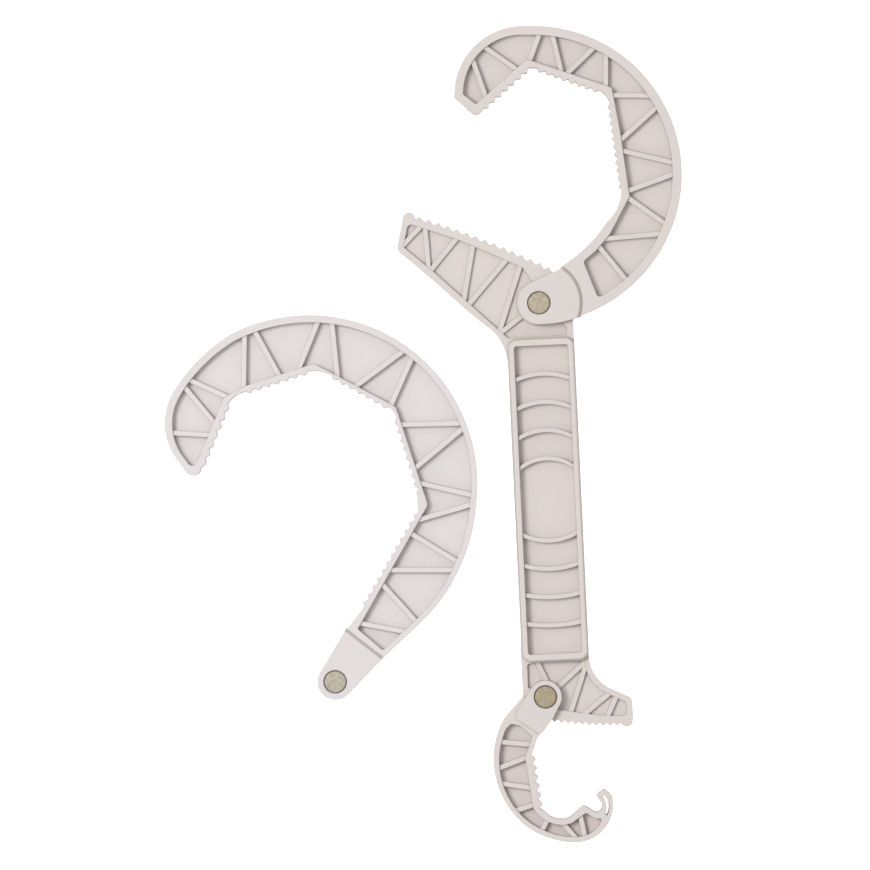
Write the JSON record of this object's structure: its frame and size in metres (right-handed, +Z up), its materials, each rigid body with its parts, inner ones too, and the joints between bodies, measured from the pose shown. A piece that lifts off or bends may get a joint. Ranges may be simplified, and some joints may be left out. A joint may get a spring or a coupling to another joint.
{
  "type": "plumbing wrench",
  "caption": "Double-ended plastic plumbing wrench with a ribbed grip, fixed toothed jaws, swinging C-shaped jaws on steel pins, and a larger spare jaw lying beside it.",
  "frame": {"origin": "middle of the grip, on the plane of its back face, which lies on the table", "axes": "+Y along the grip towards the larger jaw, +X to the right seen from the front, +Z up, out of the front face"},
  "size_m": [0.2208, 0.3417, 0.0193],
  "materials": {
    "handle_plastic": "off-white glass-filled nylon, fine moulded satin texture",
    "spare_jaw_plastic": "off-white glass-filled nylon, fine moulded satin texture",
    "pin_steel": "zinc-plated, yellow passivated, matt",
    "small_pin_steel": "zinc-plated, yellow passivated, darker and matt",
    "clip_steel": "dark phosphated spring steel"
  },
  "bodies": {
    "wrench": {"handle": "handle_plastic"},
    "medium_jaw": {"medium_jaw": "handle_plastic", "medium_jaw_pin": "pin_steel", "medium_jaw_clip": "clip_steel"},
    "small_jaw": {"small_jaw": "handle_plastic", "small_jaw_pin": "small_pin_steel", "small_jaw_clip": "clip_steel"},
    "spare_jaw": {"large_jaw": "spare_jaw_plastic", "large_jaw_pin": "pin_steel", "large_jaw_clip": "clip_steel"}
  },
  "joints": [
    {"name": "medium_jaw_hinge", "type": "hinge", "parent": "wrench", "child": "medium_jaw", "pos_m": [0, 0.0822, 0.0095], "axis": [0, 0, 1], "range_deg": [-17, 40]},
    {"name": "small_jaw_hinge", "type": "hinge", "parent": "wrench", "child": "small_jaw", "pos_m": [-0.0049, -0.0823, 0.0095], "axis": [0, 0, 1], "range_deg": [-64, 43]},
    {"name": "spare_jaw_lift", "type": "slide", "parent": "wrench", "child": "spare_jaw", "axis": [0, 0, 1], "range_m": [0, 0.06]}
  ]
}
